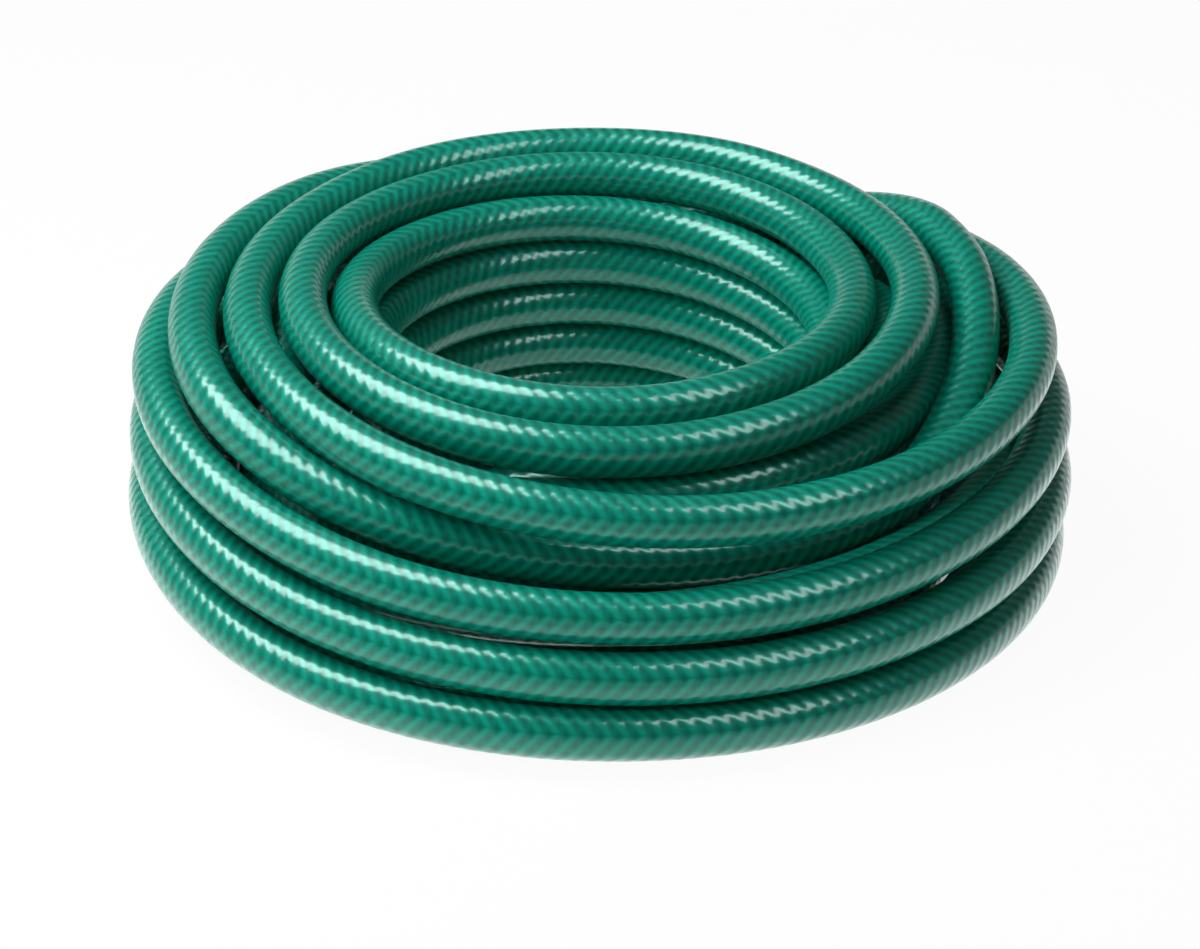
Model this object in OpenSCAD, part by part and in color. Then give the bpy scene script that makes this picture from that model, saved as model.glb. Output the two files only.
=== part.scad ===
// Reinforced garden hose laid in a neat round coil, with a swivel coupling on its inlet end and a capped,
// threaded coupling on its outlet end. Millimetres, +Z up. The coil stands on z = 0, with its box centred
// on the origin. Azimuths run anticlockwise: 0 is right (+X), 90 back (+Y), 180 left and 270 front.

/* [Hose] */
// Outside diameter of the hose
hose_d = 17; // [15:0.5:19]
// Thickness of the hose's wall
hose_wall = 2.25; // [1.75:0.25:3]

/* [Coil] */
// Width of the coil's open middle at its narrowest
hole_d = 141; // [120:1:240]
// Bare hose between the coil's straight ends and the ferrules
tail_l = 7; // [2:1:40]
// Room left between the ground turns and the core that rests on them
core_gap = 0.3; // [0.2:0.1:0.8]

/* [Ferrules] */
// Length of hose held in each ferrule
ferrule_l = 22; // [18:1:30]
// Thickness of a ferrule's wall and of its end
ferrule_wall = 1.4; // [1:0.1:2]
// Crimped rings round each ferrule
crimps = 3; // [1:1:4]
// Depth of a crimped ring
crimp_depth = 0.4; // [0.2:0.1:0.6]

/* [Barbed stems] */
// Thickness of the stem's wall inside the hose
stem_wall = 1.2; // [0.8:0.1:1.6]
// Barbs on each stem
barb_count = 4; // [2:1:6]
// Height of a barb
barb_h = 0.4; // [0.2:0.1:0.6]
// Thickness of the inlet stem's flange, which holds the nut
flange_t = 2; // [1.5:0.1:3]
// Distance across the flats of the outlet stem's collar
collar_af = 25; // [22:0.5:27]
// Length of the outlet stem's collar
collar_l = 6; // [4:0.5:10]

/* [Thread] */
// Outside diameter of the outlet's screw thread
thread_d = 27; // [26:0.1:28]
// Pitch of the screw thread
thread_pitch = 2.21; // [2:0.01:2.5]
// Depth of the screw thread
thread_depth = 1.2; // [0.8:0.1:1.4]
// Length of the outlet's screw thread
thread_l = 14; // [12:0.5:18]

/* [Nut and cap] */
// Outside diameter of the nut and of the cap
coupling_d = 33; // [32:0.5:40]
// Length of the nut's threaded socket
socket_l = 12; // [9:0.5:16]
// Thickness of the nut's lip behind the flange
lip_t = 2; // [1.5:0.1:3]
// Thickness of the cap's end
cap_end_t = 2.5; // [2:0.1:4]
// Turns of thread that the cap screws on
cap_turns = 5; // [3:0.5:5]
// Finger grooves round the nut and the cap
grips = 12; // [6:1:16]
// Diameter of a finger groove
grip_d = 5; // [3:0.5:6]
// Depth of a finger groove
grip_depth = 0.9; // [0.4:0.1:1.2]

/* [Washers] */
// Thickness of a washer
washer_t = 3; // [2:0.1:4]
// Bore of a washer
washer_bore = 15; // [10:0.5:18]

/* [Clearances] */
// Radial gap of the swivel nut on its neck
run_gap = 0.08; // [0.03:0.01:0.1]
// Radial gap of the cap on the thread
thread_gap = 0.1; // [0.03:0.01:0.1]
// Radial gap of a stem in the hose and of both in the ferrule
fit_gap = 0.05; // [0.02:0.01:0.1]
// End play of pieces that slide or turn against each other
side_gap = 0.3; // [0.2:0.05:0.5]

/* [Hidden] */
$fn = 96;

// Shape of the pile: the turns of hose climb its inner wall, cross its top outwards and come down its outer
// wall. Each corner of its outline is [out, up, turn] at the right, back, left and front: hose widths out
// from the innermost turn, hose widths up from the ground turns, and the turn that lies in the corner.
INNER_FOOT = [[0.35, 0, -3.95], [0.8, 0, -4.7], [0.2, 0, -4.35], [0.5, 0, -4.15]];
INNER_TOP = [[0.1, 5.55, 0.25], [0.05, 5.2, -0.15], [0.3, 5.45, -0.05], [0.3, 5.4, -0.4]];
OUTER_TOP = [[4.55, 4.65, 3.15], [2.7, 5.9, 1.9], [4.6, 4.9, 3.25], [4.45, 3.8, 2.55]];
OUTER_FOOT = [[4.85, 0, 6.25], [5.35, 0, 6.55], [5, 0, 6.55], [6.2, 0, 6.05]];
OUTLINE = [INNER_FOOT, INNER_TOP, OUTER_TOP, OUTER_FOOT];
// Radius of the round in each corner, in hose widths
ROUNDS = [1.25, 1.2, 1.45, 0.45];
// Turns that fill the outline once round
PLACES = 14;
// Azimuth of the front, where whole turns begin, and how far past it the hose leaves the coil at each end
FRONT = 270;
LEAVE = 135;
// Degrees over which the hose leaves the coil, and how far out it then is, in hose widths
LEAVE_ARC = 40;
LEAVE_OUT = 5.95;
// Turn 2 passes over turn 3: the parts of a turn over which the two change places and change back, and how
// deep turn 3 dips under turn 2, in hose widths
CROSS_TURN = 2;
CROSS_ON = [-0.17, 0.28];
CROSS_OFF = [0.31, 0.71];
CROSS_DIP = 1.85;
// How evenly the dip is spread over the crossing
DIP_SPREAD = 0.75;
// Section of the core, in hose widths out and up, from its foot to its top: it is lower on its outer side,
// under the crossing. Its foot clears the ground turns where they begin to climb.
CORE_IN = 1.5;
CORE_FOOT = 0.5;
CORE_SHOULDER = [3.9, 1.9];
CORE_TOP = [2.5, 3.1];
// Points round each ring of the hose's surface, and rings round each turn
SIDES = 6;
RINGS = 24;

hose_r = hose_d / 2;
bore_r = hose_r - hose_wall;
ferrule_r = hose_r + fit_gap + ferrule_wall;
stem_r = bore_r - fit_gap - barb_h;
stem_bore_r = stem_r - stem_wall;
neck_r = bore_r + barb_h;
coupling_r = coupling_d / 2;
thread_r = thread_d / 2;
socket_r = thread_r + thread_gap - thread_depth;
chamber_r = thread_r + thread_gap;
flange_r = socket_r - side_gap;
swivel_r = neck_r + ferrule_wall;
washer_r = socket_r - side_gap;
chamfer = 1;
over = 1;

// Places along a coupling's axis, out from the end face of the hose
nut_from = ferrule_wall + side_gap;
flange_from = nut_from + lip_t + side_gap;
flange_to = flange_from + flange_t;
socket_from = flange_to + washer_t;
nut_to = socket_from + socket_l;
thread_from = ferrule_wall + collar_l;
thread_to = thread_from + thread_l;
cap_from = thread_to - cap_turns * thread_pitch;
cap_washer_from = thread_to + side_gap;
cap_floor = cap_washer_from + washer_t + side_gap;
cap_to = cap_floor + cap_end_t;

// Ground turns are pressed flat, a tenth of their width deep
ground_z = hose_r - hose_d / 10;
axis_z = coupling_r + side_gap;
inner_r = (hole_d + hose_d) / 2;
first_turn = -PLACES / 2 - LEAVE / 360;
last_turn = PLACES / 2 - 1 + LEAVE / 360;

function unit(v) = v / norm(v);
function turned(v, a) = [cos(a) * v[0] - sin(a) * v[1], sin(a) * v[0] + cos(a) * v[1]];
function eased(x) = let (c = max(0, min(1, x))) c * c * (3 - 2 * c);
function share(x, span) = eased((x - span[0]) / (span[1] - span[0]));

// Four values at the right, back, left and front, blended smoothly round the coil
function around(v, a) =
    (v[0] + v[1] + v[2] + v[3]) / 4 + (v[0] - v[2]) / 2 * cos(a) + (v[1] - v[3]) / 2 * sin(a)
    + (v[0] - v[1] + v[2] - v[3]) / 4 * cos(2 * a);

// Point and inward direction at a share f of the way from corner b to corner c of the outline, each from the
// middle of its round, where the outline comes from corner a and goes on to corner d
function on_side(a, b, c, d, r1, r2, f) =
    let (
        u0 = unit(b - a),
        u1 = unit(c - b),
        u2 = unit(d - c),
        bend1 = acos(u0 * u1),
        bend2 = acos(u1 * u2),
        cut1 = r1 * tan(bend1 / 2),
        cut2 = r2 * tan(bend2 / 2),
        arc1 = r1 * bend1 / 2 * PI / 180,
        arc2 = r2 * bend2 / 2 * PI / 180,
        line = norm(c - b) - cut1 - cut2,
        s = f * (arc1 + line + arc2),
        inward = [u1[1], -u1[0]],
        back = s < arc1 ? (arc1 - s) / r1 * 180 / PI : s > arc1 + line ? -(s - arc1 - line) / r2 * 180 / PI : 0,
        normal = turned(inward, back),
        point = back > 0 ? b + u1 * cut1 + inward * r1 - normal * r1
            : back < 0 ? c - u1 * cut2 + inward * r2 - normal * r2
            : b + u1 * (cut1 + s - arc1)
    )
    [point, normal];

// Point and inward direction of the outline at azimuth a, where turn number n lies
function on_outline(n, a) =
    let (
        corner = [for (c = OUTLINE) around(c, a)],
        at = [for (c = corner) [c[0], c[1]]],
        lap = floor((n - corner[0][2]) / PLACES),
        turn = n - lap * PLACES,
        k = max([for (j = [0:3]) if (corner[j][2] <= turn) j]),
        next = k < 3 ? corner[k + 1][2] : corner[0][2] + PLACES,
        f = (turn - corner[k][2]) / (next - corner[k][2])
    )
    on_side(at[(k + 3) % 4], at[k], at[(k + 1) % 4], at[(k + 2) % 4], ROUNDS[k], ROUNDS[(k + 1) % 4], f);

// Share of the way that the turns about turn n have changed places
function swapped(n) = share(n, CROSS_ON) - share(n, CROSS_OFF);

// Distance from the coil's axis and height at turn t
function section_point(t) =
    let (
        over_share = swapped(t - CROSS_TURN),
        under_share = swapped(t - CROSS_TURN - 1),
        dip = CROSS_DIP * pow(4 * under_share * (1 - under_share), DIP_SPREAD),
        place = on_outline(t + over_share - under_share, FRONT + 360 * t),
        p = place[0] + dip * place[1],
        leaving = 2 - eased((t - first_turn) * 360 / LEAVE_ARC) - eased((last_turn - t) * 360 / LEAVE_ARC),
        laid = [inner_r + hose_d * p[0], ground_z + hose_d * p[1]],
        left = [inner_r + hose_d * LEAVE_OUT, axis_z]
    )
    laid + leaving * (left - laid);

function route_point(t) =
    let (p = section_point(t), a = FRONT + 360 * t) [p[0] * cos(a), p[0] * sin(a), p[1]];

inlet_heading = FRONT + 360 * first_turn - 90;
outlet_heading = FRONT + 360 * last_turn + 90;
inlet_way = [cos(inlet_heading), sin(inlet_heading), 0];
outlet_way = [cos(outlet_heading), sin(outlet_heading), 0];
inlet_from = route_point(first_turn) + hose_d * inlet_way;
outlet_from = route_point(last_turn) + hose_d * outlet_way;
end_l = tail_l + ferrule_l;
inlet_face = inlet_from + end_l * inlet_way;
outlet_face = outlet_from + end_l * outlet_way;

// The coil's tube runs straight for one hose width at each end
ring_count = (last_turn - first_turn) * RINGS;
route = concat([inlet_from], [for (k = [0:ring_count]) route_point(first_turn + k / RINGS)], [outlet_from]);
last = len(route) - 1;

// Directions of the hose at each point of its route: square to the two ends' faces, and between its
// neighbours elsewhere
ways = [for (k = [0:last]) unit(route[min(k + 1, last)] - route[max(k - 1, 0)])];

// Ring of surface points round a place on the route. None lies under the ground.
function ring(p, way) =
    let (side = unit(cross(way, [0, 0, 1])), up = cross(side, way))
    [for (k = [0:SIDES - 1])
        let (q = p + hose_r * (cos(k * 360 / SIDES) * side + sin(k * 360 / SIDES) * up))
        [q[0], q[1], max(q[2], 0)]];

rings = [for (k = [0:last]) ring(route[k], ways[k])];

// Middle of the whole object's box, seen from above
function disc_box(p, way, r) = [for (s = [-1, 1]) p + s * r * [abs(way[1]), abs(way[0]), 0]];
box_points = concat(
    [for (r = rings) each r],
    disc_box(inlet_face + nut_to * inlet_way, inlet_way, coupling_r),
    disc_box(outlet_face + cap_to * outlet_way, outlet_way, coupling_r)
);
middle = [for (k = [0, 1]) (min([for (p = box_points) p[k]]) + max([for (p = box_points) p[k]])) / 2];

// Least distance of the hose's surface from itself, over half a turn or more along it
function to_stretch(p, a, b) =
    let (f = max(0, min(1, (p - a) * (b - a) / ((b - a) * (b - a)))))
    norm(p - a - f * (b - a));
function least_gap() =
    min([for (i = [0:last]) for (j = [0:last - 1])
        if (abs(i - j) >= RINGS / 2) to_stretch(route[i], route[j], route[j + 1])]) - hose_d;

// Sets a piece that is built along +Z from the end face of the hose on the inlet or the outlet
module on_end(face, heading) {
    translate([face[0] - middle[0], face[1] - middle[1], face[2]])
        rotate([0, 90, heading])
            children();
}

module on_inlet() {
    on_end(inlet_face, inlet_heading) children();
}

module on_outlet() {
    on_end(outlet_face, outlet_heading) children();
}

// Solid of revolution with a wall from r1 out to r2, and chamfered outer edges
module barrel(r1, r2, from, to) {
    rotate_extrude()
        polygon([[r1, from], [r2 - chamfer, from], [r2, from + chamfer], [r2, to - chamfer],
                 [r2 - chamfer, to], [r1, to]]);
}

module finger_grooves(from, to) {
    for (k = [0:grips - 1])
        rotate(k * 360 / grips)
            translate([coupling_r + grip_d / 2 - grip_depth, 0, from - over])
                cylinder(d = grip_d, h = to - from + 2 * over);
}

// Outline of the barbs on a stem that reaches a length l into the hose, tip first
function barbs(l) = [for (k = [0:barb_count - 1])
    each [[stem_r, -l + k * l / barb_count],
          [stem_r + barb_h, -l + (k + 0.7) * l / barb_count],
          [stem_r, -l + (k + 0.7) * l / barb_count]]];

module hose() {
    echo(str("Least gap between the turns: ", least_gap(), " mm"));
    points = [for (r = rings) each r];
    ends = [for (k = [0:SIDES - 1]) k];
    walls = [for (i = [0:len(rings) - 2]) for (k = [0:SIDES - 1])
        let (a = i * SIDES + k, b = i * SIDES + (k + 1) % SIDES)
        each [[a, b, a + SIDES], [b, b + SIDES, a + SIDES]]];
    caps = [for (k = [1:SIDES - 2])
        each [[0, k + 1, k], [len(points) - SIDES, len(points) - SIDES + k, len(points) - SIDES + k + 1]]];
    color("seagreen")
        translate([-middle[0], -middle[1], 0])
            polyhedron(points = points, faces = concat(walls, caps));
}

// Turns inside the pile, as one plain ring that rests on the ground turns
module inner_turns() {
    foot_z = ground_z + hose_d * CORE_FOOT + core_gap;
    in_r = inner_r + hose_d * CORE_IN;
    shoulder = [inner_r + hose_d * CORE_SHOULDER[0], ground_z + hose_d * CORE_SHOULDER[1]];
    top = [inner_r + hose_d * CORE_TOP[0], ground_z + hose_d * CORE_TOP[1]];
    color("darkgreen")
        translate([-middle[0], -middle[1], 0])
            rotate_extrude($fn = 180)
                polygon([[in_r, foot_z], [shoulder[0], foot_z], shoulder, [top[0], shoulder[1]], top,
                         [in_r, top[1]]]);
}

// Straight end of the hose, from the coil's tube to its end face in the ferrule
module hose_end() {
    color("seagreen")
        difference() {
            translate([0, 0, -end_l])
                cylinder(r = hose_r, h = end_l);
            translate([0, 0, -end_l - over])
                cylinder(r = bore_r, h = end_l + 2 * over);
        }
}

module hose_inlet_end() {
    on_inlet() hose_end();
}

module hose_outlet_end() {
    on_outlet() hose_end();
}

module ferrule() {
    difference() {
        translate([0, 0, -ferrule_l])
            cylinder(r = ferrule_r, h = ferrule_l + ferrule_wall);
        translate([0, 0, -ferrule_l - over])
            cylinder(r = hose_r + fit_gap, h = ferrule_l + over);
        cylinder(r = neck_r + fit_gap, h = ferrule_wall + over);
        for (k = [1:crimps])
            translate([0, 0, -k * ferrule_l / (crimps + 1)])
                rotate_extrude()
                    translate([ferrule_r + ferrule_wall - crimp_depth, 0])
                        circle(r = ferrule_wall, $fn = 32);
    }
}

// Washer whose back lies at a place along the coupling's axis
module washer(from) {
    color("dimgray")
        translate([0, 0, from])
            difference() {
                cylinder(r = washer_r, h = washer_t);
                translate([0, 0, -over])
                    cylinder(d = washer_bore, h = washer_t + 2 * over);
            }
}

module inlet_ferrule() {
    color("goldenrod") on_inlet() ferrule();
}

module outlet_ferrule() {
    color("goldenrod") on_outlet() ferrule();
}

// Barbed stem whose flange holds the swivel nut
module inlet_stem() {
    l = ferrule_l - over;
    color("gold")
        on_inlet()
            rotate_extrude()
                polygon(concat(
                    [[stem_bore_r, -l]],
                    barbs(l),
                    [[stem_r, 0], [neck_r, 0], [neck_r, ferrule_wall], [swivel_r, ferrule_wall],
                     [swivel_r, flange_from], [flange_r, flange_from], [flange_r, flange_to],
                     [stem_bore_r, flange_to]]));
}

// Swivel nut: a lip that runs on the stem's neck, a chamber for the flange and washer, and a threaded socket
module inlet_nut() {
    color("goldenrod")
        on_inlet()
            difference() {
                barrel(swivel_r + run_gap, coupling_r, nut_from, nut_to);
                translate([0, 0, nut_from + lip_t])
                    cylinder(r = chamber_r, h = socket_from - nut_from - lip_t);
                translate([0, 0, socket_from - over])
                    cylinder(r = socket_r, h = socket_l + 2 * over);
                finger_grooves(nut_from, nut_to);
            }
}

module inlet_washer() {
    on_inlet() washer(flange_to);
}

// Barbed stem with a six-sided collar and the outlet's screw thread
module outlet_stem() {
    l = ferrule_l - over;
    relief = thread_pitch;
    color("gold")
        on_outlet()
            difference() {
                union() {
                    rotate_extrude()
                        polygon(concat(
                            [[stem_bore_r, -l]],
                            barbs(l),
                            [[stem_r, 0], [neck_r, 0], [neck_r, ferrule_wall + over],
                             [stem_bore_r, ferrule_wall + over]]));
                    translate([0, 0, ferrule_wall])
                        cylinder(d = collar_af / cos(30), h = collar_l, $fn = 6);
                    translate([0, 0, thread_from - over])
                        cylinder(r = thread_r - thread_depth, h = relief + 2 * over);
                    translate([0, 0, thread_from + relief])
                        cylinder(r = thread_r, h = thread_l - relief);
                }
                translate([0, 0, -l - over])
                    cylinder(r = stem_bore_r, h = l + thread_to + 2 * over);
            }
}

module cap_washer() {
    on_outlet() washer(cap_washer_from);
}

// Cup that screws over the outlet's thread
module end_cap() {
    color("goldenrod")
        on_outlet()
            difference() {
                barrel(0, coupling_r, cap_from, cap_to);
                translate([0, 0, cap_from - over])
                    cylinder(r = thread_r + thread_gap, h = cap_floor - cap_from + over);
                finger_grooves(cap_from, cap_to);
            }
}

hose();
inner_turns();
hose_inlet_end();
inlet_ferrule();
inlet_stem();
inlet_nut();
inlet_washer();
hose_outlet_end();
outlet_ferrule();
outlet_stem();
cap_washer();
end_cap();
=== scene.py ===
"""Looks of a coiled garden hose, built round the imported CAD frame. Metres, +Z up, the front towards -Y."""

import math

import bmesh
import bpy
import numpy as np
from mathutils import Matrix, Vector


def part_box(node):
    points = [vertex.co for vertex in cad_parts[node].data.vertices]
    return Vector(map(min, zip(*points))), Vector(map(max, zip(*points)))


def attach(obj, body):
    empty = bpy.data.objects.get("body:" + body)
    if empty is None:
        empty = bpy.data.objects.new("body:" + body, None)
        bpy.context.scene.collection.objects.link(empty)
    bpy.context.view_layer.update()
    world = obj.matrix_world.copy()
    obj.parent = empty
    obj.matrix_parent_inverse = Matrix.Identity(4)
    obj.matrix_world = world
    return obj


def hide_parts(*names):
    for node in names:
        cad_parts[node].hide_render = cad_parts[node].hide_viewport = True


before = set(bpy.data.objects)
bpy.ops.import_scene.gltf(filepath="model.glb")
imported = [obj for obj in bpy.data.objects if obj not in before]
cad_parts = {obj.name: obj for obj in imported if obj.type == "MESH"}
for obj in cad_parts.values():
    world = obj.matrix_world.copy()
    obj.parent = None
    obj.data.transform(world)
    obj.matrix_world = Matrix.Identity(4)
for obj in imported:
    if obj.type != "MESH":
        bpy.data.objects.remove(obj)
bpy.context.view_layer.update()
scene = bpy.context.scene

# Hose and its ends, as in the CAD source
HOSE_D = 0.017
HOSE_R = HOSE_D / 2
HOSE_WALL = 0.00225
HOLE_D = 0.141
TAIL_L = 0.007
FERRULE_L = 0.022
COUPLING_R = 0.0165
SIDE_GAP = 0.0003

# Shape of the pile, as in the CAD source: each corner of its outline is [out, up, turn] at the right, back,
# left and front, in hose widths out from the innermost turn and up from the ground turns
INNER_FOOT = [[0.35, 0, -3.95], [0.8, 0, -4.7], [0.2, 0, -4.35], [0.5, 0, -4.15]]
INNER_TOP = [[0.1, 5.55, 0.25], [0.05, 5.2, -0.15], [0.3, 5.45, -0.05], [0.3, 5.4, -0.4]]
OUTER_TOP = [[4.55, 4.65, 3.15], [2.7, 5.9, 1.9], [4.6, 4.9, 3.25], [4.45, 3.8, 2.55]]
OUTER_FOOT = [[4.85, 0, 6.25], [5.35, 0, 6.55], [5, 0, 6.55], [6.2, 0, 6.05]]
OUTLINE = [INNER_FOOT, INNER_TOP, OUTER_TOP, OUTER_FOOT]

# Radius of each rounded corner, in hose widths, and how many turns go once round the outline
ROUNDS = [1.25, 1.2, 1.45, 0.45]
PLACES = 14

# Azimuth at which each turn begins. The two ends leave the coil LEAVE degrees to either side of it, over an
# arc of LEAVE_ARC degrees, and go LEAVE_OUT hose widths out
FRONT = 270
LEAVE = 135
LEAVE_ARC = 40
LEAVE_OUT = 5.95

# Turn that changes places with the next, the spans of a turn in which it does so and changes back, and how
# deep and how broadly the lower of the two dips into the pile
CROSS_TURN = 2
CROSS_ON = [-0.17, 0.28]
CROSS_OFF = [0.31, 0.71]
CROSS_DIP = 1.85
DIP_SPREAD = 0.75

# Inner turns: places in the order in which the hose fills them, each [out, up] at the right, back, left and
# front, in hose widths from the coil's axis and from the ground, and the degrees that a move takes
INNER_PLACES = [
    [[8.14, 1.45], [8.33, 1.49], [8.35, 1.3], [7.75, 1.66]],
    [[7.08, 1.97], [7.28, 1.34], [7.28, 1.67], [6.7, 1.65]],
    [[6.3, 2.84], [6.3, 1.79], [6.1, 2.26], [6.22, 2.58]],
    [[6.02, 4.55], [6.18, 2.85], [6.69, 4.56], [6.03, 3.62]],
    [[6.98, 3.87], [7.77, 3.51], [7.74, 3.37], [7.2, 3.85]],
    [[8.49, 2.58], [7.67, 2.31], [8.54, 2.34], [8.81, 2.15]],
]
INNER_START = 345
INNER_MOVE = 40

# The inner place that swells out and up into the gap at the back right, its azimuth, its reach to each side
# and by how much
SWOLLEN = 4
SWELL_AT = 22
SWELL_REACH = 41
SWELL = [0.54, 0.55]

# Fineness of the tubes
RINGS_PER_TURN = 144
STRAIGHT_STEPS = 8
SIDES = 36
SHARP_ANGLE = math.radians(38)

# The ground turns are pressed flat by a tenth of the hose's width, and the couplings just clear the ground
GROUND_Z = HOSE_R - HOSE_D / 10
AXIS_Z = COUPLING_R + SIDE_GAP
INNER_R = (HOLE_D + HOSE_D) / 2
FIRST_TURN = -PLACES / 2 - LEAVE / 360
LAST_TURN = PLACES / 2 - 1 + LEAVE / 360

core_low, core_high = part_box("inner_turns")
AXIS = np.array([(core_low.x + core_high.x) / 2, (core_low.y + core_high.y) / 2, 0])


# ---- Route of the hose ----

def unit(v):
    return v / np.linalg.norm(v)


def eased(x):
    c = min(max(x, 0), 1)
    return c * c * (3 - 2 * c)


def share(x, span):
    return eased((x - span[0]) / (span[1] - span[0]))


def around(v, a):
    """Four values at the right, back, left and front, blended smoothly round the coil."""
    return ((v[0] + v[1] + v[2] + v[3]) / 4 + (v[0] - v[2]) / 2 * math.cos(a)
            + (v[1] - v[3]) / 2 * math.sin(a) + (v[0] - v[1] + v[2] - v[3]) / 4 * math.cos(2 * a))


def turned(v, a):
    return np.array([math.cos(a) * v[0] - math.sin(a) * v[1], math.sin(a) * v[0] + math.cos(a) * v[1]])


def on_side(a, b, c, d, r1, r2, f):
    """Point and inward direction at a share f of the way from corner b to corner c of the outline."""
    u0, u1, u2 = unit(b - a), unit(c - b), unit(d - c)
    bend1 = math.acos(u0 @ u1)
    bend2 = math.acos(u1 @ u2)
    cut1 = r1 * math.tan(bend1 / 2)
    cut2 = r2 * math.tan(bend2 / 2)
    arc1 = r1 * bend1 / 2
    arc2 = r2 * bend2 / 2
    line = np.linalg.norm(c - b) - cut1 - cut2
    s = f * (arc1 + line + arc2)
    inward = np.array([u1[1], -u1[0]])
    if s < arc1:
        normal = turned(inward, (arc1 - s) / r1)
        return b + u1 * cut1 + inward * r1 - normal * r1, normal
    if s > arc1 + line:
        normal = turned(inward, -(s - arc1 - line) / r2)
        return c - u1 * cut2 + inward * r2 - normal * r2, normal
    return b + u1 * (cut1 + s - arc1), inward


def on_outline(n, a):
    """Point and inward direction of the outline at azimuth a, where turn number n lies."""
    corner = [[around([station[i] for station in c], a) for i in range(3)] for c in OUTLINE]
    at = [np.array(c[:2]) for c in corner]
    turn = n - math.floor((n - corner[0][2]) / PLACES) * PLACES
    k = max(j for j in range(4) if corner[j][2] <= turn)
    after = corner[k + 1][2] if k < 3 else corner[0][2] + PLACES
    f = (turn - corner[k][2]) / (after - corner[k][2])
    before, far = at[(k + 3) % 4], at[(k + 2) % 4]
    return on_side(before, at[k], at[(k + 1) % 4], far, ROUNDS[k], ROUNDS[(k + 1) % 4], f)


def swapped(n):
    """How far two turns have changed places, 0 to 1, at n turns past the start of either."""
    return share(n, CROSS_ON) - share(n, CROSS_OFF)


def section_point(t):
    """Distance from the coil's axis and height at turn t."""
    over = swapped(t - CROSS_TURN)
    under = swapped(t - CROSS_TURN - 1)
    dip = CROSS_DIP * (4 * under * (1 - under)) ** DIP_SPREAD
    point, inward = on_outline(t + over - under, math.radians(FRONT + 360 * t))
    p = point + dip * inward
    leaving = 2 - eased((t - FIRST_TURN) * 360 / LEAVE_ARC) - eased((LAST_TURN - t) * 360 / LEAVE_ARC)
    laid = np.array([INNER_R + HOSE_D * p[0], GROUND_Z + HOSE_D * p[1]])
    left = np.array([INNER_R + HOSE_D * LEAVE_OUT, AXIS_Z])
    return laid + leaving * (left - laid)


def place_at(out, up, degrees):
    a = math.radians(degrees)
    return AXIS + np.array([out * math.cos(a), out * math.sin(a), up])


def route_point(t):
    out, up = section_point(t)
    return place_at(out, up, FRONT + 360 * t)


def heading(degrees):
    a = math.radians(degrees)
    return np.array([math.cos(a), math.sin(a), 0])


END_L = HOSE_D + TAIL_L + FERRULE_L
inlet_way = heading(FRONT + 360 * FIRST_TURN - 90)
outlet_way = heading(FRONT + 360 * LAST_TURN + 90)
inlet_face = route_point(FIRST_TURN) + END_L * inlet_way
outlet_face = route_point(LAST_TURN) + END_L * outlet_way


def outer_line():
    """Centreline of the outer turns, from the inlet's end face to the outlet's."""
    straight = [k / STRAIGHT_STEPS for k in range(STRAIGHT_STEPS)]
    count = round((LAST_TURN - FIRST_TURN) * RINGS_PER_TURN)
    start = route_point(FIRST_TURN)
    end = route_point(LAST_TURN)
    line = [inlet_face + f * (start - inlet_face) for f in straight]
    line += [route_point(FIRST_TURN + (LAST_TURN - FIRST_TURN) * k / count) for k in range(count + 1)]
    line += [outlet_face + f * (end - outlet_face) for f in reversed(straight)]
    return np.array(line)


def inner_place(j, degrees):
    """Distance from the coil's axis and height of an inner place at an azimuth."""
    away = abs((degrees - SWELL_AT + 180) % 360 - 180)
    swell = 1 - eased(away / SWELL_REACH) if j == SWOLLEN else 0
    made = []
    for i in range(2):
        here = around([station[i] for station in INNER_PLACES[j]], math.radians(degrees))
        made.append(HOSE_D * (here + swell * SWELL[i]))
    return made


def inner_line():
    """Centreline of the turns inside the pile. Each move to the next place comes a little earlier round the
    coil than the one before it, so the hose never meets itself."""
    turn = 360 - INNER_MOVE
    moves = len(INNER_PLACES) - 1
    ends = [turn * (k + 1) for k in range(moves)]
    whole = ends[-1] + INNER_MOVE + turn
    line = []
    for step in range(round(whole * RINGS_PER_TURN / 360) + 1):
        turned_by = step * 360 / RINGS_PER_TURN
        at = INNER_START + turned_by
        place = sum(eased((turned_by - end) / INNER_MOVE) for end in ends)
        k = min(int(place), moves - 1)
        here, there = inner_place(k, at), inner_place(k + 1, at)
        out, up = [here[i] + (place - k) * (there[i] - here[i]) for i in range(2)]
        line.append(place_at(out, up, at))
    return np.array(line)


# ---- Meshes ----

LAY = "lay"


def new_object(name, points, faces, uvs):
    """Mesh object with one UV pair for each corner of each face."""
    mesh = bpy.data.meshes.new(name)
    mesh.from_pydata([tuple(p) for p in points], [], faces)
    layer = mesh.uv_layers.new(name=LAY)
    layer.uv.foreach_set("vector", np.array(uvs, np.float32).ravel())
    mesh.validate()
    shell = bmesh.new()
    shell.from_mesh(mesh)
    bmesh.ops.recalc_face_normals(shell, faces=shell.faces)
    shell.to_mesh(mesh)
    shell.free()
    mesh.shade_smooth()
    mesh.set_sharp_from_angle(angle=SHARP_ANGLE)
    made = bpy.data.objects.new(name, mesh)
    scene.collection.objects.link(made)
    return made


def grid_faces(rows, columns, closed):
    """Faces between rows of points that each close into a ring, and back to the first row where closed."""
    faces = []
    for i in range(rows if closed else rows - 1):
        here, there = i * columns, (i + 1) % rows * columns
        for k in range(columns):
            after = (k + 1) % columns
            faces.append((here + k, here + after, there + after, there + k))
    return faces


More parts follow.
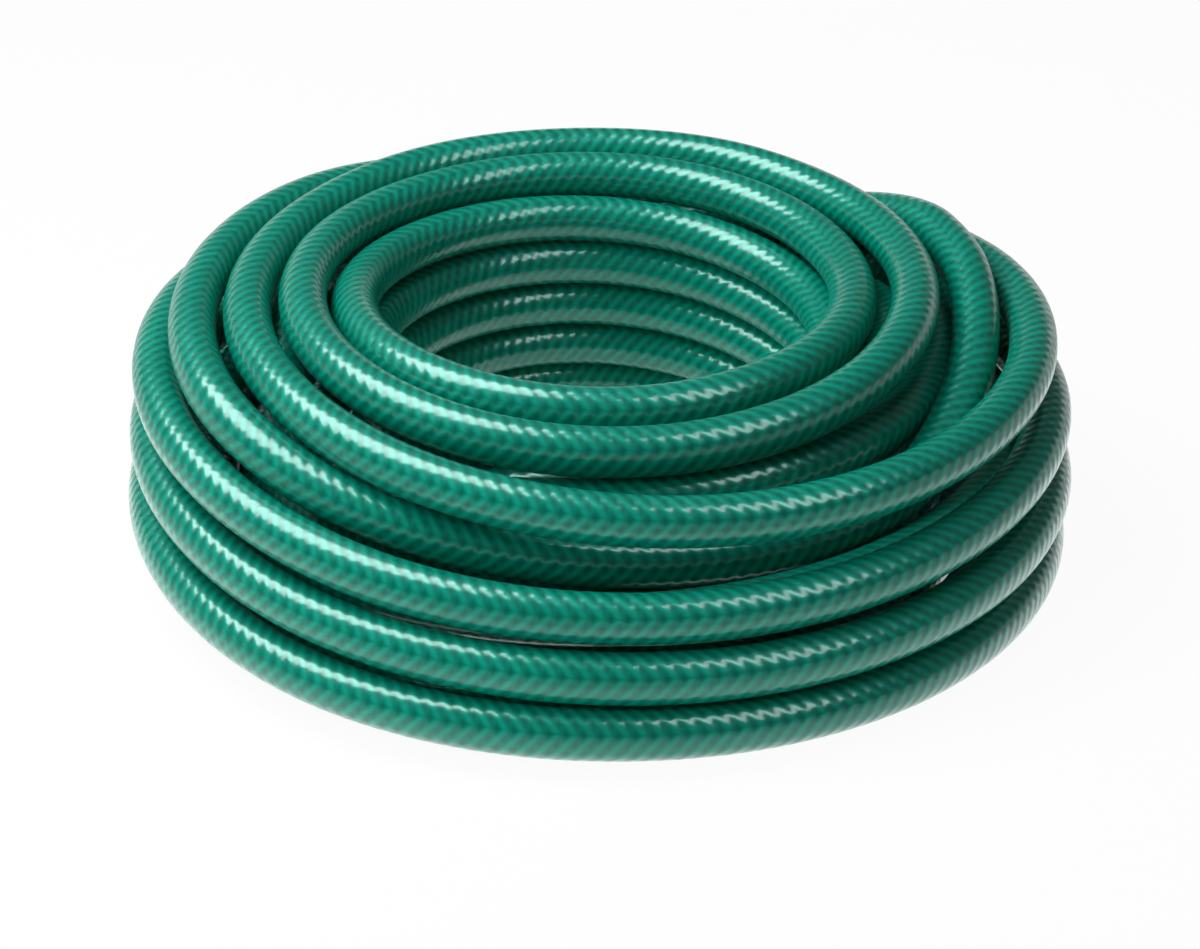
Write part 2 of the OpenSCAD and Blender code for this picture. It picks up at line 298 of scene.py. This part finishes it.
def grid_uvs(alongs, columns):
    """UV pairs for those faces: how far along in metres, and how far round from 0 to 1."""
    uvs = []
    for i in range(len(alongs) - 1):
        for k in range(columns):
            low, high = k / columns, (k + 1) / columns
            uvs += [(alongs[i], low), (alongs[i], high), (alongs[i + 1], high), (alongs[i + 1], low)]
    return uvs


def ringed_object(name, rings, alongs, closed=False):
    """Object with its skin over rings of points. Where it isn't closed, a disc ends it on both sides."""
    sides = len(rings[0])
    faces = grid_faces(len(rings), sides, closed)
    uvs = grid_uvs(alongs, sides)
    if not closed:
        last = (len(rings) - 1) * sides
        faces += [tuple(reversed(range(sides))), tuple(last + k for k in range(sides))]
        uvs += [(0, 0)] * sides * 2
    return new_object(name, np.concatenate(rings), faces, uvs)


def distances(points):
    """How far each point is from the first, along the line through them all."""
    steps = np.linalg.norm(np.diff(points, axis=0), axis=1)
    return np.concatenate([[0], np.cumsum(steps)])


def tube_axes(line):
    """The way along a line at each of its points, and the two directions across it."""
    ways = np.gradient(line, axis=0)
    ways /= np.linalg.norm(ways, axis=1)[:, None]
    sides = np.cross(ways, [0, 0, 1])
    sides /= np.linalg.norm(sides, axis=1)[:, None]
    return ways, sides, np.cross(sides, ways)


def hose_tube(name, line, bore_depth):
    """Round tube along a line, bored at both ends and flattened where it lies on the ground."""
    ways, sides, ups = tube_axes(line)
    angles = np.arange(SIDES) * 2 * math.pi / SIDES

    def ring(i, radius, shift=0.0):
        rim = np.outer(np.cos(angles), sides[i]) + np.outer(np.sin(angles), ups[i])
        points = line[i] + shift * ways[i] + radius * rim
        points[:, 2] = np.maximum(points[:, 2], 0)
        return points

    last = len(line) - 1
    bore_r = HOSE_R - HOSE_WALL
    rings = [ring(0, bore_r, bore_depth), ring(0, bore_r)]
    rings += [ring(i, HOSE_R) for i in range(last + 1)]
    rings += [ring(last, bore_r), ring(last, bore_r, -bore_depth)]
    along = distances(line)
    return ringed_object(name, rings, [0, 0, *along, along[-1], along[-1]])


# ---- Materials ----

class Nodes:
    """Short ways to add nodes to a material."""

    def __init__(self, material):
        self.nodes = material.node_tree.nodes
        self.links = material.node_tree.links

    def link(self, value, socket):
        if isinstance(value, bpy.types.NodeSocket):
            self.links.new(value, socket)
        else:
            socket.default_value = value

    def add(self, kind, **settings):
        node = self.nodes.new("ShaderNode" + kind)
        for name, value in settings.items():
            setattr(node, name, value)
        return node

    def math(self, operation, *values):
        node = self.add("Math", operation=operation)
        for value, socket in zip(values, node.inputs):
            self.link(value, socket)
        return node.outputs[0]

    def span(self, value, low, high, to_low=0.0, to_high=1.0):
        """value, mapped smoothly from low..high to to_low..to_high."""
        node = self.add("MapRange", interpolation_type="SMOOTHSTEP")
        for given, socket in zip((value, low, high, to_low, to_high), node.inputs):
            self.link(given, socket)
        return node.outputs[0]

    def noise(self, scale, detail=2.0):
        """Noise that is fixed to the piece, at a scale per metre."""
        node = self.add("TexNoise")
        self.link(self.add("TexCoord").outputs["Object"], node.inputs["Vector"])
        node.inputs["Scale"].default_value = scale
        node.inputs["Detail"].default_value = detail
        return node.outputs[0]

    def lay(self):
        """How far along a piece in metres, and how far round it from 0 to 1, from its UV map."""
        parts = self.add("SeparateXYZ")
        self.link(self.add("UVMap", uv_map=LAY).outputs[0], parts.inputs[0])
        return parts.outputs[0], parts.outputs[1]

    def mix(self, share, one, other):
        """A colour between two, one at share 0."""
        node = self.add("Mix", data_type="RGBA")
        self.link(share, node.inputs[0])
        self.link(one, node.inputs[6])
        self.link(other, node.inputs[7])
        return node.outputs[2]

    def bump(self, height, distance, normal=None):
        node = self.add("Bump")
        self.link(height, node.inputs["Height"])
        node.inputs["Distance"].default_value = distance
        if normal:
            self.link(normal, node.inputs["Normal"])
        return node.outputs[0]


def principled(name):
    """A new material, the means to add nodes to it, and its shader."""
    material = bpy.data.materials.new(name)
    material.use_nodes = True
    return material, Nodes(material), material.node_tree.nodes["Principled BSDF"]


# Yarns: their pitch along the hose, how many there are of each slant, where round the hose the slants
# change and how softly, how much the lesser slant shows, and their relief in the body and in the gloss.
# The yarns are real, but where the slants change is painted shade: it is fixed to the world's up, not to
# the hose, and stands for how the light falls on the yarns' relief.
YARN_PITCH = 0.00526
YARNS = 8
FOLD = 28 / 360
FOLD_EDGE = 0.3
CROSSED = 0.4
RELIEF_SHARE = 0.7
YARN_RELIEF = 0.00018
GLOSS_RELIEF = 0.00012

# Green PVC: its colours, how much the yarns show, and its roughness, with the scale and span of their noise
DEEP_GREEN = (0.0, 0.145, 0.094, 1)
YARN_GREEN = (0.001, 0.345, 0.24, 1)
SHOW_SCALE = 45.0
SHOW_SPAN = (0.3, 0.7)
YARN_SHOWS = (0.75, 1.0)
SHINE_SCALE = 160.0
SHINE_SPAN = (0.35, 0.7)
HOSE_ROUGHNESS = (0.32, 0.42)

# Its gloss: level of the body's gloss and weight of the coat, each seen face on and edge on
GLOSS_LEVEL = (0.3, 0.12)
COAT_WEIGHT = (0.6, 0.3)
EDGE_POWER = 2.0
GLOSS_TINT = (0.15, 1.0, 0.9, 1)
COAT_ROUGHNESS = 0.18


def yarn_waves(n):
    """Height of the yarns of each slant, 0 to 1. Each slant shows most in two of the four strips round the
    hose, so the yarns read as a herringbone. The strips are painted shade: they are fixed to the world's up
    and stand for how the light falls on the two slants."""
    along, turned_by = n.lay()
    along = n.math("DIVIDE", along, YARN_PITCH)
    round_by = n.math("SUBTRACT", turned_by, FOLD)
    across = n.math("MULTIPLY", round_by, float(YARNS))
    # Painted shade: which slant shows, by strips fixed to the world's up as the light is
    shade_strip = n.span(n.math("SINE", n.math("MULTIPLY", round_by, 4 * math.pi)), -FOLD_EDGE, FOLD_EDGE)
    waves = []
    for way, low, high in (("ADD", CROSSED, 1.0), ("SUBTRACT", 1.0, CROSSED)):
        phase = n.math("MULTIPLY", n.math(way, along, across), 2 * math.pi)
        wave = n.math("MULTIPLY_ADD", n.math("COSINE", phase), 0.5, 0.5)
        waves.append(n.math("MULTIPLY", wave, n.span(shade_strip, 0.0, 1.0, low, high)))
    return waves


def hose_material():
    """Glossy green PVC over two slants of yarn, which show through it and raise it a little."""
    material, n, shader = principled("green_pvc")
    waves = yarn_waves(n)
    even = n.span(n.noise(SHOW_SCALE), *SHOW_SPAN, *YARN_SHOWS)
    # Real yarn colour, carrying the painted shade of the herringbone strips from yarn_waves
    show = n.math("MULTIPLY", n.math("MAXIMUM", *waves), even)
    n.link(n.mix(show, DEEP_GREEN, YARN_GREEN), shader.inputs["Base Color"])
    n.link(n.span(n.noise(SHINE_SCALE), *SHINE_SPAN, *HOSE_ROUGHNESS), shader.inputs["Roughness"])
    edge = n.math("POWER", n.add("LayerWeight").outputs["Facing"], EDGE_POWER)
    for name, ends in (("Specular IOR Level", GLOSS_LEVEL), ("Coat Weight", COAT_WEIGHT)):
        shader.inputs[name].default_value = ends[0]
        n.link(n.span(edge, 0.0, 1.0, *ends), shader.inputs[name])
    shader.inputs["Specular Tint"].default_value = GLOSS_TINT
    shader.inputs["Coat Roughness"].default_value = COAT_ROUGHNESS
    relief = n.math("MULTIPLY", n.math("ADD", *waves), RELIEF_SHARE)
    n.link(n.bump(relief, YARN_RELIEF), shader.inputs["Normal"])
    n.link(n.bump(relief, GLOSS_RELIEF), shader.inputs["Coat Normal"])
    return material


# Brass: its colour and its tarnish's, its roughness, its tool rings and its grain
BRASS = (0.80, 0.58, 0.25, 1)
TARNISH = (0.55, 0.35, 0.13, 1)
TARNISH_SCALE = 180.0
TARNISH_SPAN = (0.45, 0.75)
WEAR_SCALE = 420.0
WEAR_SPAN = (0.3, 0.75)
BRASS_ROUGHNESS = (0.24, 0.4)
TOOL_RING = 0.0004
TOOL_RING_DEPTH = 0.000006
BRASS_GRAIN_SCALE = 900.0
BRASS_GRAIN_DEPTH = 0.00003
FINE_DETAIL = 4.0


def brass_material():
    """Turned brass: fine tool rings, a little tarnish and uneven shine."""
    material, n, shader = principled("turned_brass")
    tarnish = n.span(n.noise(TARNISH_SCALE, FINE_DETAIL), *TARNISH_SPAN)
    n.link(n.mix(tarnish, BRASS, TARNISH), shader.inputs["Base Color"])
    shader.inputs["Metallic"].default_value = 1.0
    n.link(n.span(n.noise(WEAR_SCALE), *WEAR_SPAN, *BRASS_ROUGHNESS), shader.inputs["Roughness"])
    along = n.lay()[0]
    rings = n.math("SINE", n.math("MULTIPLY", along, 2 * math.pi / TOOL_RING))
    grain = n.bump(n.noise(BRASS_GRAIN_SCALE), BRASS_GRAIN_DEPTH)
    n.link(n.bump(rings, TOOL_RING_DEPTH, grain), shader.inputs["Normal"])
    return material


# Rubber: its colour and its dust's, its roughness and its grain
RUBBER = (0.018, 0.018, 0.018, 1)
DUST = (0.05, 0.048, 0.045, 1)
DUST_SCALE = 260.0
DUST_SPAN = (0.5, 0.8)
RUBBER_ROUGHNESS = (0.5, 0.75)
RUBBER_GRAIN_SCALE = 1500.0
RUBBER_GRAIN_DEPTH = 0.00004


def rubber_material():
    """Black rubber with a fine moulded grain and a little pale dust."""
    material, n, shader = principled("black_rubber")
    dust = n.span(n.noise(DUST_SCALE, FINE_DETAIL), *DUST_SPAN)
    n.link(n.mix(dust, RUBBER, DUST), shader.inputs["Base Color"])
    n.link(n.span(dust, 0.0, 1.0, *RUBBER_ROUGHNESS), shader.inputs["Roughness"])
    n.link(n.bump(n.noise(RUBBER_GRAIN_SCALE), RUBBER_GRAIN_DEPTH), shader.inputs["Normal"])
    return material


# ---- Couplings ----
# Millimetres here: places along a coupling's axis from the hose's end face, and radii. The main ones are as
# in the CAD source, and the rest are the finer detail that it leaves out

MM = 0.001
TURNED_SIDES = 96
GRIP_SIDES = 180

# Corners: how much of an edge a rounding may take, and how straight a corner may be before it's left alone
ROUNDED_SHARE = 0.45
STRAIGHT = 0.97

FERRULE_R = 9.95
FERRULE_BORE_R = 8.55
FERRULE_END = 1.4
FERRULE_ROUNDING = 0.4
CRIMPS = [-16.5, -11, -5.5]
CRIMP_DEPTH = 0.5
CRIMP_REACH = 1.7
CRIMP_STEPS = 5

STEM_R = 5.8
STEM_BORE_R = 4.6
STEM_L = 21.99
STEM_ROUNDING = 0.3
BARBS = 4
BARB_H = 0.4
BARB_RISE = 0.7
BARB_DROP = 0.1
NECK_R = 6.65
NECK_GAP = 0.05
SWIVEL_R = 8.05
FLANGE = [4, 6]
FLANGE_R = 12.1

# Collar of the outlet's stem: its end, its width across the flats, and its bevel along and across
COLLAR_END = 7.4
COLLAR_AF = 25
COLLAR_BEVEL_L = 0.7
COLLAR_BEVEL_H = 1.2
COLLAR_BLUNT = 0.1
MOUTH_BEVEL = 0.5

THREAD = [9.61, 21.4]
THREAD_R = 13.5
THREAD_ROOT_R = 12.3
THREAD_PITCH = 2.21
THREAD_STEPS = 10
THREAD_STEEPNESS = 1.8
RUN_OUT = 0.8

# Nut and cap. Radii beyond GRIP_FROM are their outside, with the finger grooves, and their threads start
# MOUTH behind the opening
NUT = [1.7, 21]
NUT_LIP_R = 8.13
NUT_CHAMBER = [3.7, 9]
SOCKET_R = 12.4
CAP = [10.35, 27.5]
CAP_FLOOR = 25
CAP_THREAD_GAP = 0.25
CAP_RIM = 4
CAP_RECESS = 0.6
CAP_MIDDLE_R = 4
CHAMBER_R = 13.6
MOUTH = 0.6
GRIP_R = 16.5
GRIP_BEVEL = 1
GRIP_ROUNDING = 0.4
GRIP_FROM = CHAMBER_R + 1
GRIPS = 12
GROOVE_R = 2.5
GROOVE_AT = 18.1

WASHER_R = 12.1
WASHER_BORE_R = 7.5
WASHER_ROUNDING = 0.6
INLET_WASHER = [6, 9]
CAP_WASHER = [21.7, 24.7]


def rounded(profile, reach, closed=True):
    """The profile with each of its corners rounded off over a reach."""
    made = []
    count = len(profile)
    for i, corner in enumerate(profile):
        if not closed and i in (0, count - 1):
            made.append(corner)
            continue
        p, a, b = [np.array(profile[j % count], float) for j in (i, i - 1, i + 1)]
        one, other = np.linalg.norm(a - p), np.linalg.norm(b - p)
        cut = min(reach, ROUNDED_SHARE * one, ROUNDED_SHARE * other)
        if (a - p) @ (b - p) < -STRAIGHT * one * other:
            made.append(corner)
            continue
        before, after = p + cut * (a - p) / one, p + cut * (b - p) / other
        made += [tuple(before), tuple(0.25 * before + 0.5 * p + 0.25 * after), tuple(after)]
    return made


def turned_piece(name, end, profile, shape=None, sides=TURNED_SIDES, closed=True):
    """Solid of revolution about a coupling's axis, from a profile of [place, radius]. A shape changes the
    radius at each place and angle. Where the profile isn't closed, a disc closes it at each end."""
    face, way = end
    across = np.array([0, 0, -1.0])
    upward = np.cross(way, across)
    angles = np.arange(sides) * 2 * math.pi / sides
    rings = []
    for place, radius in profile:
        radii = shape(place, radius, angles) if shape else np.full(sides, float(radius))
        rings.append(face + MM * (np.outer(radii * np.cos(angles), across)
                                  + np.outer(radii * np.sin(angles), upward) + place * way))
    loop = np.array(profile + [profile[0]] if closed else profile)
    return ringed_object(name, rings, MM * distances(loop), closed)


def barbs():
    """Profile of the barbs on a stem, tip first."""
    step = STEM_L / BARBS
    profile = []
    for k in range(BARBS):
        foot = -STEM_L + k * step
        peak = -STEM_L + (k + BARB_RISE) * step
        profile += [(foot, STEM_R), (peak, STEM_R + BARB_H), (peak + BARB_DROP, STEM_R)]
    return profile


def crimp(centre):
    """Profile of one crimped ring: a smooth dip in the ferrule."""
    profile = []
    for k in range(2 * CRIMP_STEPS + 1):
        f = k / CRIMP_STEPS - 1
        depth = CRIMP_DEPTH * (0.5 + 0.5 * math.cos(math.pi * f))
        profile.append((centre + CRIMP_REACH * f, FERRULE_R - depth))
    return profile


def thread_places(low, high):
    """Places along a thread, close enough together to show it."""
    count = round((high - low) / THREAD_PITCH * THREAD_STEPS)
    return [low + (high - low) * k / count for k in range(count + 1)]


def thread_height(place, angles, low, high):
    """Height of a right-hand thread, 0 at its root to 1 at its crest, run out at both ends."""
    turn = place / THREAD_PITCH - angles / (2 * math.pi)
    crest = np.abs(2 * (turn - np.floor(turn)) - 1)
    run_out = min(1, (place - low) / RUN_OUT, (high - place) / RUN_OUT)
    return np.clip((crest - 0.5) * THREAD_STEEPNESS + 0.5, 0, 1) * max(run_out, 0)


def gripped(radius, angles):
    """The radius, less the finger grooves."""
    step = 2 * math.pi / GRIPS
    off = (angles + step / 2) % step - step / 2
    reach = GROOVE_R ** 2 - (GROOVE_AT * np.sin(off)) ** 2
    groove = GROOVE_AT * np.cos(off) - np.sqrt(np.maximum(reach, 0))
    return np.where(reach > 0, np.minimum(radius, groove), radius)


def nut_shape(place, radius, angles):
    """Finger grooves outside and a thread in the socket, which runs past both of its ends."""
    if radius > GRIP_FROM:
        return gripped(radius, angles)
    if radius == SOCKET_R:
        height = thread_height(place, angles, NUT_CHAMBER[1] - RUN_OUT, NUT[1] + RUN_OUT)
        return radius + (CHAMBER_R - SOCKET_R) * (1 - height)
    return np.full(len(angles), float(radius))


def cap_shape(place, radius, angles):
    """Finger grooves outside and a thread inside, which runs past both of its ends."""
    if radius > GRIP_FROM:
        return gripped(radius, angles)
    if radius == THREAD_ROOT_R + CAP_THREAD_GAP:
        height = thread_height(place, angles, CAP[0] - RUN_OUT, CAP[1] + RUN_OUT)
        return radius + (THREAD_R - THREAD_ROOT_R) * height
    return np.full(len(angles), float(radius))


def stem_shape(place, radius, angles):
    """Six flats on the collar, and a thread that runs out at both of its ends."""
    if place <= COLLAR_END and radius > THREAD_ROOT_R:
        flat = angles % (math.pi / 3) - math.pi / 6
        return np.minimum(radius, COLLAR_AF / 2 / np.cos(flat))
    if radius == THREAD_R:
        height = thread_height(place, angles, *THREAD)
        return THREAD_ROOT_R + (THREAD_R - THREAD_ROOT_R) * height
    return np.full(len(angles), float(radius))


def ferrule(name, end):
    mouth = [(-FERRULE_L / MM, FERRULE_BORE_R), (-FERRULE_L / MM, FERRULE_R)]
    outside = [q for centre in CRIMPS for q in crimp(centre)]
    neck = NECK_R + NECK_GAP
    front = [(FERRULE_END, FERRULE_R), (FERRULE_END, neck), (0, neck), (0, FERRULE_BORE_R)]
    return turned_piece(name, end, rounded(mouth + outside + front, FERRULE_ROUNDING))


def stem_tail():
    """Profile of the part of a stem that is in the hose."""
    return [(-STEM_L, STEM_BORE_R)] + barbs() + [(0, STEM_R), (0, NECK_R)]


def inlet_stem(name, end):
    low, high = FLANGE
    flange = [(FERRULE_END, NECK_R), (FERRULE_END, SWIVEL_R), (low, SWIVEL_R), (low, FLANGE_R),
              (high, FLANGE_R), (high, STEM_BORE_R)]
    return turned_piece(name, end, rounded(stem_tail() + flange, STEM_ROUNDING))


def washer(name, end, places):
    low, high = places
    profile = [(low, WASHER_BORE_R), (low, WASHER_R), (high, WASHER_R), (high, WASHER_BORE_R)]
    return turned_piece(name, end, rounded(profile, WASHER_ROUNDING))


def grip_side(low, high):
    """Profile of the outside of a nut or cap, bevelled at both ends."""
    return [(low, GRIP_R - GRIP_BEVEL), (low + GRIP_BEVEL, GRIP_R), (high - GRIP_BEVEL, GRIP_R),
            (high, GRIP_R - GRIP_BEVEL)]


def inlet_nut(name, end):
    low, high = NUT
    outside = rounded([(low, NUT_LIP_R)] + grip_side(low, high), GRIP_ROUNDING, False)
    thread = [(q, SOCKET_R) for q in reversed(thread_places(NUT_CHAMBER[1], high - MOUTH))]
    inside = [(NUT_CHAMBER[1], CHAMBER_R), (NUT_CHAMBER[0], CHAMBER_R), (NUT_CHAMBER[0], NUT_LIP_R)]
    profile = outside + [(high, CHAMBER_R)] + thread + inside
    return turned_piece(name, end, profile, nut_shape, GRIP_SIDES)


def outlet_stem(name, end):
    corner = COLLAR_AF / 2 / math.cos(math.pi / 6)
    low, high = corner - COLLAR_BEVEL_H, corner - COLLAR_BLUNT
    collar = [(FERRULE_END, NECK_R), (FERRULE_END, low), (FERRULE_END + COLLAR_BEVEL_L, high),
              (COLLAR_END - COLLAR_BEVEL_L, high), (COLLAR_END, low), (COLLAR_END, THREAD_ROOT_R)]
    thread = [(q, THREAD_R) for q in thread_places(*THREAD)]
    mouth = [(THREAD[1], STEM_BORE_R + MOUTH_BEVEL), (THREAD[1] - MOUTH_BEVEL, STEM_BORE_R)]
    return turned_piece(name, end, stem_tail() + collar + thread + mouth, stem_shape, GRIP_SIDES)


def end_cap(name, end):
    low, high = CAP
    root = THREAD_ROOT_R + CAP_THREAD_GAP
    thread = [(q, root) for q in reversed(thread_places(low + MOUTH, THREAD[1]))]
    inside = [(CAP_FLOOR, CAP_MIDDLE_R), (CAP_FLOOR, CHAMBER_R)] + thread + [(low, CHAMBER_R)]
    top = [(high, GRIP_R - CAP_RIM), (high - CAP_RECESS, GRIP_R - CAP_RIM - CAP_RECESS),
           (high - CAP_RECESS, CAP_MIDDLE_R)]
    outside = rounded(grip_side(low, high) + top, GRIP_ROUNDING, False)
    return turned_piece(name, end, inside + outside, cap_shape, GRIP_SIDES, False)


# ---- Pieces ----

def finished(piece, material, body, slot, *nodes):
    """Dresses a piece, hangs it on the body that it moves with, and hides the CAD parts that it stands in
    for.
    """
    piece.data.materials.append(material)
    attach(piece, body)
    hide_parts(*nodes)
    return piece


pvc = hose_material()
brass = brass_material()
rubber = rubber_material()

inlet = (inlet_face, inlet_way)
outlet = (outlet_face, outlet_way)
finished(ferrule("ferrule_inlet", inlet), brass, "hose", "brass", "inlet_ferrule")
finished(inlet_stem("stem_inlet", inlet), brass, "hose", "brass", "inlet_stem")
finished(washer("washer_inlet", inlet, INLET_WASHER), rubber, "hose", "rubber", "inlet_washer")
finished(inlet_nut("swivel_nut", inlet), brass, "inlet_nut", "brass", "inlet_nut")
fittings = [
    finished(ferrule("ferrule_outlet", outlet), brass, "hose", "brass", "outlet_ferrule"),
    finished(outlet_stem("stem_outlet", outlet), brass, "hose", "brass", "outlet_stem"),
    finished(washer("washer_cap", outlet, CAP_WASHER), rubber, "cap_washer", "rubber", "cap_washer"),
    finished(end_cap("screw_cap", outlet), brass, "end_cap", "brass", "end_cap"),
]

outer = outer_line()
hose = finished(hose_tube("hose_jacket", outer, FERRULE_L), pvc, "hose", "hose",
                "hose", "hose_inlet_end", "hose_outlet_end")

inner = inner_line()
inner_hose = finished(hose_tube("inner_hose", inner, HOSE_D), pvc, "hose", "core", "inner_turns")


# ---- Stage ----

# Floor and backdrop: the floor turns white between the two distances of UNDER_COIL from the coil's axis
FLOOR_HALF = 30
FLOOR_DEPTH = -0.0002
BACKDROP_TOP = 7
FLOOR_COLOUR = (0.93, 0.93, 0.93, 1)
FLOOR_ROUGHNESS = 0.6
FLOOR_WHITE = 0.95
UNDER_COIL = (0.12, 0.15)
AMBIENT = 0.1

# Lamps: the direction of each from the point that they look at, and the distances
LAMPS_LOOK_AT = Vector((AXIS[0], AXIS[1], 0.05))
KEY_FROM = (-0.47, 0.1, 0.86)
LEFT_FROM = (-0.7, -0.5, 0.7)
RIGHT_FROM = (0.26, 0.18, 0.93)
RIGHT_SHEEN_FROM = (0.45, -0.3, 0.86)
LAMP_DISTANCE = 1.2
LEFT_DISTANCE = 1.3

# Camera, fitted to the photograph: it looks at CAMERA_AT, which the photograph has at the pixel LOOKS_AT
CAMERA_AT = Vector((0.0012564, -0.0015847, 0.0085))
CAMERA_ELEVATION = math.radians(26)
CAMERA_DISTANCE = 1.156
CAMERA_LENS = 93.84
SENSOR_WIDTH = 36
PHOTO_W, PHOTO_H = 1200, 949
LOOKS_AT = (603, 495)


def shows_background(n):
    """1 for rays that show the background: from the camera, off gloss and through glass."""
    path = n.add("LightPath").outputs
    seen = n.math("MAXIMUM", path["Is Camera Ray"], path["Is Glossy Ray"])
    return n.math("MAXIMUM", seen, path["Is Transmission Ray"])


def floor_material():
    """Shows as white but for the object's faint shadow, and stays dark under the coil."""
    material, n, shader = principled("white_floor")
    shader.inputs["Base Color"].default_value = FLOOR_COLOUR
    shader.inputs["Roughness"].default_value = FLOOR_ROUGHNESS
    away = n.add("VectorMath", operation="DISTANCE")
    n.link(n.add("NewGeometry").outputs["Position"], away.inputs[0])
    n.link((AXIS[0], AXIS[1], 0), away.inputs[1])
    white = n.span(away.outputs["Value"], *UNDER_COIL, 0.0, FLOOR_WHITE)
    mix = n.add("MixShader")
    n.link(n.math("MULTIPLY", shows_background(n), white), mix.inputs[0])
    n.link(shader.outputs[0], mix.inputs[1])
    n.link(n.add("Emission").outputs[0], mix.inputs[2])
    n.link(mix.outputs[0], n.nodes["Material Output"].inputs["Surface"])
    return material


def make_floor():
    """Pale floor and a backdrop all round."""
    corners = ((-1, -1), (1, -1), (1, 1), (-1, 1))
    low = [(x * FLOOR_HALF, y * FLOOR_HALF, FLOOR_DEPTH) for x, y in corners]
    high = [(x, y, BACKDROP_TOP) for x, y, z in low]
    walls = [(k, (k + 1) % 4, (k + 1) % 4 + 4, k + 4) for k in range(4)]
    mesh = bpy.data.meshes.new("floor")
    mesh.from_pydata(low + high, [], [(0, 1, 2, 3)] + walls)
    mesh.materials.append(floor_material())
    floor = bpy.data.objects.new("floor", mesh)
    scene.collection.objects.link(floor)


def make_world():
    """A dim soft light from all round."""
    world = bpy.data.worlds.new("studio")
    scene.world = world
    world.use_nodes = True
    ambient = world.node_tree.nodes["Background"]
    ambient.inputs["Color"].default_value = (1, 1, 1, 1)
    ambient.inputs["Strength"].default_value = AMBIENT


def softbox(name, direction, distance, size, power, lights):
    """Oblong lamp that looks at the coil from a direction, and lights either its colour or its gloss. A
    colour lamp has importance sampling off, because with it on it would hide a gloss lamp behind it."""
    lamp = bpy.data.lights.new(name, "AREA")
    lamp.shape = "RECTANGLE"
    lamp.size, lamp.size_y = size
    lamp.energy = power
    lamp.cycles.use_multiple_importance_sampling = lights == "gloss"
    made = bpy.data.objects.new(name, lamp)
    away = Vector(direction).normalized()
    made.location = LAMPS_LOOK_AT + away * distance
    made.rotation_euler = away.to_track_quat("Z", "Y").to_euler()
    made.visible_diffuse = lights == "colour"
    made.visible_glossy = lights == "gloss"
    scene.collection.objects.link(made)


def floor_glow(radius, power):
    """Round lamp that lies on the floor and shines up, for the gloss on the undersides of the turns."""
    lamp = bpy.data.lights.new("floor_glow", "AREA")
    lamp.shape = "DISK"
    lamp.size = 2 * radius
    lamp.energy = power
    made = bpy.data.objects.new("floor_glow", lamp)
    made.location = (AXIS[0], AXIS[1], FLOOR_DEPTH / 2)
    made.rotation_euler = (math.pi, 0, 0)
    made.visible_camera = False
    made.visible_diffuse = False
    scene.collection.objects.link(made)


def make_camera():
    data = bpy.data.cameras.new("camera")
    data.sensor_width = SENSOR_WIDTH
    data.lens = CAMERA_LENS
    data.shift_x = (PHOTO_W / 2 - LOOKS_AT[0]) / PHOTO_W
    data.shift_y = (LOOKS_AT[1] - PHOTO_H / 2) / PHOTO_W
    back = Vector((0, -math.cos(CAMERA_ELEVATION), math.sin(CAMERA_ELEVATION)))
    camera = bpy.data.objects.new("camera", data)
    camera.location = CAMERA_AT + back * CAMERA_DISTANCE
    camera.rotation_euler = (math.pi / 2 - CAMERA_ELEVATION, 0, 0)
    scene.collection.objects.link(camera)
    scene.camera = camera


make_floor()
make_world()
softbox("key_softbox", KEY_FROM, LAMP_DISTANCE, size=(0.62, 0.62), power=9.5, lights="colour")
softbox("right_softbox", RIGHT_FROM, LAMP_DISTANCE, size=(0.25, 0.4), power=1.3, lights="colour")
softbox("left_softbox", LEFT_FROM, LEFT_DISTANCE, size=(1.2, 0.8), power=7.5, lights="colour")
softbox("key_sheen", KEY_FROM, LAMP_DISTANCE, size=(0.75, 0.85), power=28, lights="gloss")
softbox("right_sheen", RIGHT_SHEEN_FROM, LAMP_DISTANCE, size=(0.28, 0.8), power=7, lights="gloss")
floor_glow(radius=0.3, power=0.8)
make_camera()
scene.view_settings.view_transform = "Standard"
